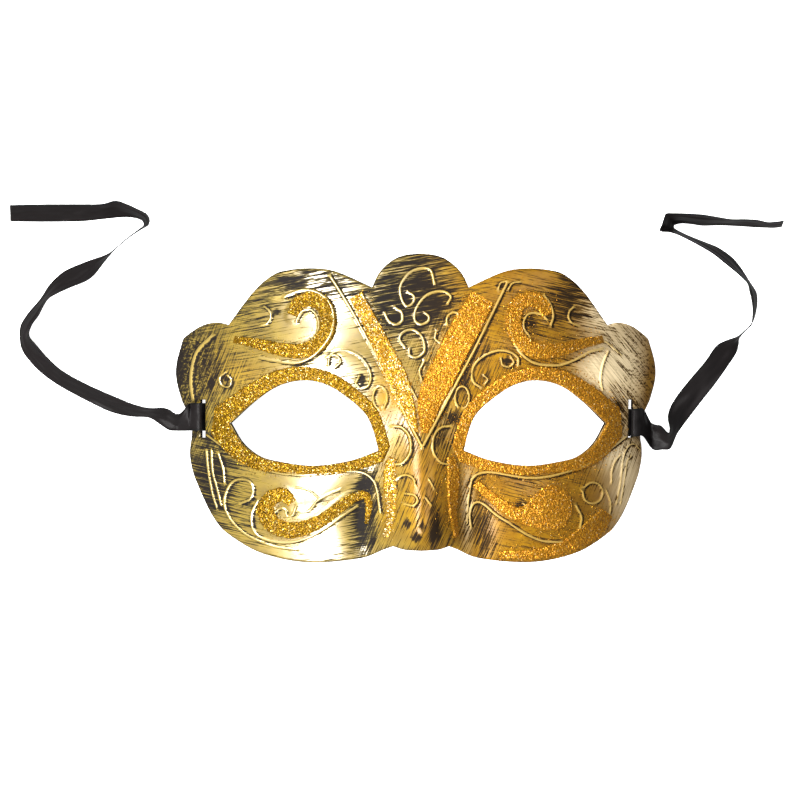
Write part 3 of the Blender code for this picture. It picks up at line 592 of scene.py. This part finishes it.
def paint_fields(spots, bead_top, groove_and_shade):
    """Per-point cover of gold, tone from yellow to ochre, a beige painted reflection, and each brush
    direction's share.
    """
    cover = BASE_COVER + blobs(spots, COVER_BLOBS)
    for x, y, rx, ry in DARK_SPOTS:
        reach = np.abs(spots[:, 0] - x) / rx + np.abs(spots[:, 1] - y) / ry
        cover -= 0.9 * (1 - ramp(reach, 0.5, 1.5))
    # The sunken band beside each bead takes gold away: dark wash in the recess, plus painted shade on the
    # bead's lower right.
    cover = np.clip(cover, -0.1, 1.1) - 0.6 * groove_and_shade
    cover = np.maximum(cover, bead_top)
    tone = np.clip(ramp(spots[:, 0], -16, 26) + blobs(spots, TONE_BLOBS), 0, 1)
    painted_reflection = np.clip(blobs(spots, REFLECTION_BLOBS), 0, 1)
    soft = np.clip(blobs(spots, SOFT_BLOBS), 0, 1)
    shares = np.full((len(spots), len(BRUSH_TURNS)), 0.01)
    for x, y, rx, ry, turn in STROKES:
        shares[:, turn] += blobs(spots, [(x, y, rx, ry, 1.0)])
    shares /= shares.sum(axis=1, keepdims=True)
    return cover, tone, painted_reflection, soft, shares


def mask_shell(material):
    rings = [mask_outline(0.7)]
    for side in (-1, 1):
        rings.append(eye_outline(side, 0.7))
        rings.append(slot_outline(side))
    beads = bead_list()
    fine = shell_fine_points(rings, beads)
    fields = {}

    def top_lift(spots):
        height, bead_top, groove_and_shade = shell_relief(spots, beads, rings)
        fields["relief"] = (bead_top, groove_and_shade)
        return height

    coarse = honeycomb(rings, COARSE_SPACING, 1.2)
    mesh, spots = closed_skin("mask_shell_painted", rings, fine, coarse, top_lift,
                              lambda low: np.full(len(low), -SHELL_THICKNESS))
    bead_top, groove_and_shade = fields["relief"]
    cover, tone, painted_reflection, soft, shares = paint_fields(spots, bead_top, groove_and_shade)
    store(mesh, "cover", cover)
    store(mesh, "tone", tone)
    store(mesh, "painted_reflection", painted_reflection)
    store(mesh, "soft", soft)
    store(mesh, "bead", bead_top)
    store(mesh, "plane", np.column_stack([spots, np.zeros(len(spots))]), "FLOAT_VECTOR")
    for i in range(len(BRUSH_TURNS)):
        store(mesh, f"brush_{i}", shares[:, i])
    store(mesh, "front", np.ones(len(spots)))
    mesh.shade_smooth()
    add_piece("mask_shell_painted", mesh, "mask_shell", material)


# ---- glitter ----------------------------------------------------------------------------

GRAIN = 0.37  # spacing of the glitter's facets
GLITTER_LOW = 0.36  # least and greatest height of a facet's corner
GLITTER_HIGH = 0.72
GLUE_DEPTH = 0.2  # a trim's underside lies this far in the shell
GRAIN_RADIUS = 0.24  # of a loose grain
GRAIN_LIFT = 0.1  # height of its middle above the face
# Loose grains beside a trim: (grains per mm of edge, spread)
SCATTER = {"yellow_gold_glitter": (5.0, 1.1), "orange_gold_glitter": (11.0, 2.0)}


def loose_grains(ring, avoid, per_mm, spread):
    """Small closed grains on the face, ever fewer away from the ring."""
    length = np.linalg.norm(np.diff(closed(ring), axis=0), axis=1).sum()
    picks = ring[rng.integers(0, len(ring), int(length * per_mm))]
    spots = picks + rng.normal(0, spread, picks.shape)
    for other in avoid:
        spots = spots[~inside(spots, other)]
    spots = spots[inside(spots, mask_outline(1.5))]
    middle = on_face(spots, np.full(len(spots), GRAIN_LIFT))
    corners = rng.normal(0, 1, (len(spots), 4, 3))
    corners -= corners.mean(axis=1, keepdims=True)
    corners *= GRAIN_RADIUS / np.linalg.norm(corners, axis=2, keepdims=True)
    sides = corners[:, 1:] - corners[:, :1]
    turned = np.einsum("ij,ij->i", np.cross(sides[:, 0], sides[:, 1]), sides[:, 2]) > 0
    corners[turned] = corners[turned][:, [0, 2, 1, 3]]
    return (middle[:, None] + corners).reshape(-1, 3)


def glitter(name, rings, slot, material, raise_by=0.0):
    """A skin of random facets that ends in a ragged edge, with loose grains beside it."""
    fine = honeycomb(rings, GRAIN, GRAIN * 0.45, jitter=GRAIN * 0.3)
    coarse = honeycomb(rings, COARSE_SPACING, 1.0)

    def top_lift(spots):
        lift = rng.uniform(GLITTER_LOW, GLITTER_HIGH, len(spots)) + raise_by
        for ring in rings:
            edge = distance_to(spots, closed(ring), 0.3) < 0.05
            lift[edge] = rng.uniform(-0.05, 0.3, int(edge.sum())) + raise_by
        return lift

    mesh, _ = closed_skin(f"{name}_grains", rings, fine, coarse, top_lift,
                          lambda low: np.full(len(low), -GLUE_DEPTH))
    eyes = [eye_outline(side, 1.0) for side in (-1, 1)]
    slots = [slot_outline(side) for side in (-1, 1)]
    grains = loose_grains(rings[0], rings[:1] + eyes + slots, *SCATTER[slot])
    bm = bmesh.new()
    bm.from_mesh(mesh)
    for four in (grains * MM).reshape(-1, 4, 3):
        a, b, c, d = [bm.verts.new(p) for p in four.tolist()]
        for face in ((a, b, c), (a, c, d), (a, d, b), (b, d, c)):
            bm.faces.new(face)
    bm.to_mesh(mesh)
    bm.free()
    add_piece(f"{name}_grains", mesh, name, material)


def eye_glitter(side, word, slot, material):
    outer = grown_eye(side, EYE_BAND_UPPER, EYE_BAND_LOWER, 0.5)
    outer = outer + rng.uniform(-0.22, 0.22, outer.shape)
    inset = (EYE_BAND_INSET,) * 3
    inner = grown_eye(side, inset, inset, 0.5)
    glitter(f"eye_glitter_{word}", [outer, inner], slot, material)


def strip_glitter(name, route, slot, material, raise_by):
    ring = strip_outline(route, 0.5, 0.2)
    glitter(name, [ring], slot, material, raise_by)


# ---- ribbons ----------------------------------------------------------------------------


def ribbon_stations(thread, lying):
    """Centres, unit width directions and unit face normals at even steps along a ribbon.

    Each row of the route is the plan place of the lower edge, that of the upper edge and the
    lower edge's height. The rest of the width stands up, so both edges keep their distance."""
    half = RIBBON_WIDTH / 2
    rest = RIBBON_THICKNESS / 2 + TABLE_GAP
    route = [(x, y - half, x, y + half, z) for x, y, z in thread]
    route += [(*row, rest) for row in lying]
    line = smooth_run(route, RIBBON_STEP)
    level = line[:, 2:4] - line[:, :2]
    level *= np.minimum(1, RIBBON_WIDTH / np.linalg.norm(level, axis=1))[:, None]
    rise = np.sqrt(np.maximum(0, RIBBON_WIDTH**2 - np.sum(level**2, axis=1)))
    across = np.column_stack([level, rise]) / RIBBON_WIDTH
    centre = np.column_stack([line[:, :2], np.maximum(line[:, 4], rest)]) + across * half
    normal = np.cross(travel(centre), across)
    normal /= np.linalg.norm(normal, axis=1, keepdims=True)
    return centre, across, normal


def swept_band(name, centre, across, normal, half_width, half_thick):
    """A closed flat band: sixteen points round each section, with a fuller woven edge."""
    offsets = np.array([-1, -0.93, -0.86, -0.3, 0.3, 0.86, 0.93, 1.0])
    fullness = np.array([0.55, 1.0, 0.55, 0.5, 0.5, 0.55, 1.0, 0.55])
    upper = [(o, f * half_thick) for o, f in zip(offsets, fullness)]
    lower = [(o, -f * half_thick) for o, f in zip(offsets, fullness)][::-1]
    section = upper + lower
    count = len(section)
    rings, strip = [], []
    travelled = np.concatenate([[0], np.cumsum(np.linalg.norm(np.diff(centre, axis=0), axis=1))])
    for c, a, n, s in zip(centre, across, normal, travelled):
        for o, h in section:
            rings.append(c + a * o * half_width + n * h)
            strip.append((s, o * half_width, 0.0))
    faces = []
    stations = len(centre)
    for i in range(stations - 1):
        for j in range(count):
            k = (j + 1) % count
            faces.append((i * count + j, i * count + k, (i + 1) * count + k, (i + 1) * count + j))
    faces.append(tuple(range(count))[::-1])
    faces.append(tuple((stations - 1) * count + j for j in range(count)))
    mesh = bpy.data.meshes.new(name)
    mesh.from_pydata((np.array(rings) * MM).tolist(), [], faces)
    mesh.validate()
    store(mesh, "strip", np.array(strip), "FLOAT_VECTOR")
    mesh.shade_smooth()
    return mesh


def ribbon(name, thread, lying, material):
    centre, across, normal = ribbon_stations(thread, lying)
    mesh = swept_band(f"{name}_satin", centre, across, normal, RIBBON_WIDTH / 2, RIBBON_THICKNESS / 2)
    piece = add_piece(f"{name}_satin", mesh, name, material)


def ribbon_knot(name, side, y, material):
    """The ribbon's end tied in an overhand knot behind the slot."""
    turn = np.linspace(0, 2 * math.pi, 97)[:-1]
    loop = np.stack([
        1.15 * (np.sin(turn) + 1.7 * np.sin(2 * turn)) * 0.55,
        1.9 * (np.cos(turn) - 1.5 * np.cos(2 * turn)) * 0.62,
        -1.35 * np.sin(3 * turn),
    ], axis=1)
    line = closed(loop)
    along = travel(line)
    out = line - line.mean(0)
    normal = out - along * np.sum(out * along, axis=1, keepdims=True)
    normal /= np.linalg.norm(normal, axis=1, keepdims=True)
    across = np.cross(normal, along)
    place = np.array([side * KNOT_X, y, KNOT_Z])
    mesh = swept_band(f"{name}_tied", line + place, across, normal, KNOT_HALF_WIDTH, KNOT_HALF_THICK)
    return add_piece(f"{name}_tied", mesh, name, material)


# ---- materials --------------------------------------------------------------------------


class Nodes:
    """A short way to build one material's node tree."""

    def __init__(self, name):
        self.material = bpy.data.materials.new(name)
        self.material.use_nodes = True
        self.tree = self.material.node_tree
        self.shader = self.tree.nodes["Principled BSDF"]

    def add(self, kind, inputs=(), **settings):
        node = self.tree.nodes.new(kind)
        for key, value in settings.items():
            setattr(node, key, value)
        for key, value in dict(inputs).items():
            self.put(node.inputs[key], value)
        return node

    def put(self, socket, value):
        if isinstance(value, bpy.types.NodeSocket):
            self.tree.links.new(value, socket)
        else:
            socket.default_value = value

    def field(self, name, output="Fac"):
        return self.add("ShaderNodeAttribute", attribute_name=name).outputs[output]

    def math(self, operation, a, b=0.0, c=0.0):
        return self.add("ShaderNodeMath", {0: a, 1: b, 2: c}, operation=operation).outputs[0]

    def noise(self, vector, scale, detail, rough=0.55):
        inputs = {"Vector": vector, "Scale": scale, "Detail": detail, "Roughness": rough}
        return self.add("ShaderNodeTexNoise", inputs).outputs["Fac"]

    def scaled(self, vector, scale):
        return self.add("ShaderNodeMapping", {"Vector": vector, "Scale": scale}).outputs[0]

    def streaked(self, vector, turn, length, width):
        """Coordinates in which noise makes streaks of a length and a width, at an angle in degrees."""
        inputs = {"Vector": vector, "Rotation": (0, 0, math.radians(turn)), "Scale": (length, width, 1)}
        return self.add("ShaderNodeMapping", inputs, vector_type="TEXTURE").outputs[0]

    def step(self, value, low, high, to_low=0.0, to_high=1.0):
        node = self.add("ShaderNodeMapRange", {"Value": value, "From Min": low, "From Max": high,
                                               "To Min": to_low, "To Max": to_high},
                        interpolation_type="SMOOTHSTEP")
        return node.outputs[0]

    def blend(self, share, a, b):
        node = self.add("ShaderNodeMix", data_type="RGBA")
        for socket, value in ((node.inputs[0], share), (node.inputs[6], a), (node.inputs[7], b)):
            if isinstance(value, tuple):
                value = (*value, 1.0)
            self.put(socket, value)
        return node.outputs[2]

    def bump(self, height, strength, distance, normal=None):
        inputs = {"Height": height, "Strength": strength, "Distance": distance}
        if normal:
            inputs["Normal"] = normal
        return self.add("ShaderNodeBump", inputs).outputs[0]

    def surface(self, **inputs):
        for key, value in inputs.items():
            self.put(self.shader.inputs[key.replace("_", " ")], value)
        return self.material


def painted_plastic():
    """Black plastic under dry-brushed gold: thin strokes, bare recesses that reach further on each bead's
    lower right as painted shade, and lighter gold on the bead tops, partly dry-brushed paint and partly a
    painted highlight.
    """
    n = Nodes("dry_brushed_gold")
    plane = n.field("plane", "Vector")
    thin, wide, bristle = 0.0, 0.0, 0.0
    for i, turn in enumerate(BRUSH_TURNS):
        share = n.field(f"brush_{i}")
        thin = n.math("MULTIPLY_ADD", share, n.noise(n.streaked(plane, turn, 11.0, 0.5), 1.0, 2.0, 0.6), thin)
        wide = n.math("MULTIPLY_ADD", share, n.noise(n.streaked(plane, turn + 4, 20.0, 1.9), 1.0, 2.0), wide)
        hairs = n.noise(n.streaked(plane, turn - 3, 4.0, 0.3), 1.0, 2.0)
        bristle = n.math("MULTIPLY_ADD", share, hairs, bristle)
    patch = n.noise(n.scaled(plane, (0.13, 0.17, 1.0)), 1.0, 4.0, 0.6)
    soft = n.field("soft")
    dabs = n.noise(n.scaled(plane, (0.9, 1.3, 1.0)), 1.0, 3.0, 0.65)
    daubed = n.math("MULTIPLY", soft, 2.2)
    level = n.math("MULTIPLY_ADD", n.math("SUBTRACT", dabs, 0.5), daubed, n.field("cover"))
    level = n.math("MULTIPLY_ADD", n.math("SUBTRACT", thin, 0.5), n.step(soft, 0.0, 1.0, 2.6, 0.9), level)
    level = n.math("MULTIPLY_ADD", n.math("SUBTRACT", wide, 0.5), 0.7, level)
    level = n.math("MULTIPLY_ADD", n.math("SUBTRACT", bristle, 0.5), 1.1, level)
    front = n.field("front")
    gold = n.math("MULTIPLY", n.step(level, 0.40, 0.64), front)
    veil = n.math("MULTIPLY", n.step(level, 0.16, 0.48), front)
    tone = n.field("tone")
    yellow = n.blend(n.step(patch, 0.3, 0.7), (0.24, 0.150, 0.003), (0.385, 0.255, 0.008))
    ochre = n.blend(n.step(patch, 0.3, 0.7), (0.20, 0.088, 0.001), (0.285, 0.140, 0.002))
    paint = n.blend(tone, yellow, ochre)
    # Beige over the gold is a painted reflection of light surroundings.
    reflection_beige = n.blend(n.step(thin, 0.38, 0.62), (0.60, 0.47, 0.26), (0.92, 0.74, 0.45))
    painted_reflection = n.field("painted_reflection")
    paint = n.blend(painted_reflection, paint, reflection_beige)
    # Lighter gold on the bead tops: partly dry-brushed paint on the raised relief, partly a painted
    # highlight.
    bead_gold_and_highlight = n.blend(tone, (0.42, 0.29, 0.035), (0.44, 0.30, 0.075))
    paint = n.blend(n.math("MULTIPLY", n.field("bead"), 0.7), paint, bead_gold_and_highlight)
    bare = n.blend(tone, (0.010, 0.008, 0.007), (0.016, 0.009, 0.004))
    thinned = n.blend(tone, (0.10, 0.075, 0.02), (0.095, 0.048, 0.008))
    colour = n.blend(gold, n.blend(veil, bare, thinned), paint)
    metal = n.math("MULTIPLY", gold, n.step(painted_reflection, 0.0, 1.0, n.step(tone, 0.0, 1.0, 0.5, 0.25), 0.1))
    rough = n.math("MULTIPLY_ADD", tone, 0.2, n.step(thin, 0.3, 0.7, 0.28, 0.40))
    rough = n.math("MULTIPLY_ADD", n.math("SUBTRACT", 1.0, gold), 0.3, rough)
    relief = n.math("MULTIPLY_ADD", bristle, 0.5, n.math("MULTIPLY", gold, 0.8))
    normal = n.bump(relief, 0.4, 0.00006)
    n.put(n.shader.inputs["Coat Weight"], n.math("MULTIPLY", gold, n.step(tone, 0.0, 0.9, 1.0, 0.12)))
    n.shader.inputs["Coat IOR"].default_value = 2.65
    n.shader.inputs["Coat Roughness"].default_value = 0.3
    n.shader.inputs["Specular IOR Level"].default_value = 0.07
    return n.surface(Base_Color=colour, Metallic=metal, Roughness=rough, Normal=normal)


FLAKES_PER_METRE = 3200.0


def glitter_paint(name, flakes):
    """Glitter grains in clear glue: each grain has its own colour, from dark to light, and the lightest
    grains stand for glints as a painted highlight.
    """
    n = Nodes(name)
    place = n.add("ShaderNodeTexCoord").outputs["Object"]
    cells = n.add("ShaderNodeTexVoronoi", {"Vector": place, "Scale": FLAKES_PER_METRE}, feature="F1")
    pick = n.add("ShaderNodeSeparateColor", {0: cells.outputs["Color"]}).outputs
    ramp_node = n.add("ShaderNodeValToRGB", {0: pick[0]})
    ramp_node.color_ramp.interpolation = "CONSTANT"
    stops = ramp_node.color_ramp.elements
    while len(stops) < len(flakes):
        stops.new(0.5)
    for stop, (position, colour) in zip(stops, flakes):
        stop.position = position
        stop.color = (*colour, 1)
    middle = {0: cells.outputs["Color"], 1: (0.5, 0.5, 0.5)}
    tilt = n.add("ShaderNodeVectorMath", middle, operation="SUBTRACT")
    spread = n.add("ShaderNodeVectorMath", {0: tilt.outputs[0], 3: 0.42}, operation="SCALE")
    facing = n.add("ShaderNodeNewGeometry").outputs["Normal"]
    total = n.add("ShaderNodeVectorMath", {0: facing, 1: spread.outputs[0]}, operation="ADD")
    normal = n.add("ShaderNodeVectorMath", {0: total.outputs[0]}, operation="NORMALIZE").outputs[0]
    rough = n.step(pick[1], 0.0, 1.0, 0.22, 0.5)
    n.shader.inputs["Coat Weight"].default_value = 0.05
    n.shader.inputs["Specular IOR Level"].default_value = 0.25
    n.shader.inputs["Coat Roughness"].default_value = 0.25
    return n.surface(Base_Color=ramp_node.outputs[0], Metallic=0.7, Roughness=rough, Normal=normal)


RIB_PITCH = 0.42


def satin():
    """Black satin: fine ribs across the ribbon and a plain woven edge."""
    n = Nodes("black_satin_ribbon")
    strip = n.field("strip", "Vector")
    parts = n.add("ShaderNodeSeparateXYZ", {0: strip}).outputs
    ribs = n.math("SINE", n.math("MULTIPLY", parts[0], 2 * math.pi / RIB_PITCH))
    threads = n.noise(n.scaled(strip, (0.25, 9.0, 1.0)), 1.0, 3.0, 0.5)
    edge = n.step(n.math("ABSOLUTE", parts[1]), 4.3, 4.6)
    height = n.math("MULTIPLY_ADD", ribs, n.math("MULTIPLY_ADD", edge, 0.6, 0.12), threads)
    waves = n.noise(n.scaled(strip, (0.07, 0.16, 1.0)), 1.0, 1.0)
    normal = n.bump(height, 0.3, 0.00005, n.bump(waves, 0.9, 0.0025))
    colour = n.blend(threads, (0.005, 0.004, 0.004), (0.009, 0.0075, 0.0075))
    colour = n.blend(edge, colour, (0.004, 0.004, 0.004))
    rough = n.step(threads, 0.3, 0.7, 0.38, 0.5)
    n.shader.inputs["Specular IOR Level"].default_value = 0.12
    n.shader.inputs["Anisotropic"].default_value = 0.5
    return n.surface(Base_Color=colour, Roughness=rough, Normal=normal)


# The last stop of each list, the lightest colour, is a painted glint on a few grains.
YELLOW_FLAKES = [
    (0.0, (0.06, 0.028, 0.001)), (0.14, (0.14, 0.067, 0.001)), (0.36, (0.23, 0.118, 0.002)),
    (0.80, (0.31, 0.185, 0.004)), (0.96, (0.62, 0.50, 0.20)),
]
AMBER_FLAKES = [
    (0.0, (0.20, 0.085, 0.003)), (0.16, (0.31, 0.145, 0.005)), (0.42, (0.39, 0.20, 0.009)),
    (0.76, (0.52, 0.35, 0.06)), (0.9, (0.85, 0.76, 0.46)),
]
ORANGE_FLAKES = [
    (0.0, (0.21, 0.075, 0.002)), (0.14, (0.32, 0.13, 0.004)), (0.38, (0.40, 0.18, 0.010)),
    (0.80, (0.48, 0.24, 0.018)), (0.975, (0.72, 0.50, 0.22)),
]


# ---- stage ------------------------------------------------------------------------------

CAMERA_DISTANCE = 2.5
CAMERA_LEAN = math.radians(2.06)
FIELD_WIDTH = 0.2902  # width of the table seen by the camera
AIM = Vector((-0.0058, 0.0029, 0))
LIGHT_AIM = Vector((0, 0, 0.03))
TABLE_HALF = 3.0
TABLE_DROP = -0.0003
TABLE_GLOW = 0.95
WORLD_LIGHT = 0.34


def make_camera():
    camera = bpy.data.cameras.new("camera")
    camera.sensor_width = 36
    camera.lens = 36 * CAMERA_DISTANCE / FIELD_WIDTH
    camera.clip_end = 20
    ob = bpy.data.objects.new("camera", camera)
    bpy.context.scene.collection.objects.link(ob)
    away = Vector((-math.sin(CAMERA_LEAN), 0, math.cos(CAMERA_LEAN)))
    ob.location = AIM + away * CAMERA_DISTANCE
    right = Vector((0, 1, 0)).cross(away)
    ob.matrix_world = Matrix.Translation(ob.location) @ Matrix((right, (0, 1, 0), away)).transposed().to_4x4()
    bpy.context.scene.camera = ob


def area_light(name, direction, distance, width, height, power):
    """A softbox that looks at the mask from a direction, height measured along Y."""
    light = bpy.data.lights.new(name, "AREA")
    light.shape = "RECTANGLE"
    light.size = width
    light.size_y = height
    light.energy = power
    ob = bpy.data.objects.new(name, light)
    bpy.context.scene.collection.objects.link(ob)
    away = Vector(direction).normalized()
    right = Vector((0, 1, 0)).cross(away).normalized()
    up = away.cross(right)
    turn = Matrix((right, up, away)).transposed().to_4x4()
    ob.matrix_world = Matrix.Translation(LIGHT_AIM + away * distance) @ turn


def make_stage():
    mesh = bpy.data.meshes.new("table")
    corners = [(x * TABLE_HALF, y * TABLE_HALF, TABLE_DROP) for x, y in ((-1, -1), (1, -1), (1, 1), (-1, 1))]
    mesh.from_pydata(corners, [], [(0, 1, 2, 3)])
    n = Nodes("pale_table")
    n.shader.inputs["Emission Color"].default_value = (1, 1, 1, 1)
    n.shader.inputs["Emission Strength"].default_value = TABLE_GLOW
    mesh.materials.append(n.surface(Base_Color=(0.9, 0.9, 0.9, 1), Roughness=0.8))
    floor = bpy.data.objects.new("table", mesh)
    bpy.context.scene.collection.objects.link(floor)
    floor.visible_glossy = False
    floor.visible_diffuse = False
    world = bpy.data.worlds.new("studio")
    world.use_nodes = True
    background = world.node_tree.nodes["Background"].inputs
    background[0].default_value = (1, 1, 1, 1)
    background[1].default_value = WORLD_LIGHT
    bpy.context.scene.world = world
    bpy.context.scene.view_settings.view_transform = "Standard"
    area_light("key", (-0.5, 0.4, 0.78), 1.5, 0.5, 1.4, 57)
    area_light("low_key", (-0.40, -0.70, 0.60), 1.6, 0.6, 1.4, 55)
    area_light("fill", (0.6, 0.3, 0.74), 1.9, 1.2, 1.2, 13)


# ---- build ------------------------------------------------------------------------------


def main():
    make_camera()
    black = satin()
    knots = [
        ribbon_knot("ribbon_knot_left", -1, LEFT_THREAD[0][1], black),
        ribbon_knot("ribbon_knot_right", 1, RIGHT_THREAD[0][1], black),
    ]
    ribbon("ribbon_left", LEFT_THREAD, LEFT_LYING, black)
    ribbon("ribbon_right", RIGHT_THREAD, RIGHT_LYING, black)
    mask_shell(painted_plastic())
    yellow = glitter_paint("yellow_gold_grains", YELLOW_FLAKES)
    orange = glitter_paint("orange_gold_grains", ORANGE_FLAKES)
    amber = glitter_paint("amber_gold_grains", AMBER_FLAKES)
    eye_glitter(-1, "left", "yellow_gold_glitter", yellow)
    eye_glitter(1, "right", "orange_gold_glitter", orange)
    strips = [
        ("brow_glitter_left", mirrored(BROW_SCROLL), yellow, 0.3),
        ("brow_glitter_right", BROW_SCROLL, orange, 0.3),
        ("forehead_glitter_left", FOREHEAD_LEFT, amber, 0.0),
        ("forehead_glitter_right", FOREHEAD_RIGHT, orange, 0.0),
        ("nose_glitter_left", mirrored(NOSE_LINE), amber, 0.0),
        ("nose_glitter_right", NOSE_LINE, orange, 0.0),
        ("cheek_glitter_left", mirrored(CHEEK_SCROLL), yellow, 0.3),
        ("cheek_glitter_right", CHEEK_PATCH, orange, 0.0),
        ("rim_glitter_right", RIM_PATCH, orange, 0.0),
    ]
    for name, route, material, raise_by in strips:
        slot = "yellow_gold_glitter" if name.endswith("left") else "orange_gold_glitter"
        strip_glitter(name, route, slot, material, raise_by)
    make_stage()


main()
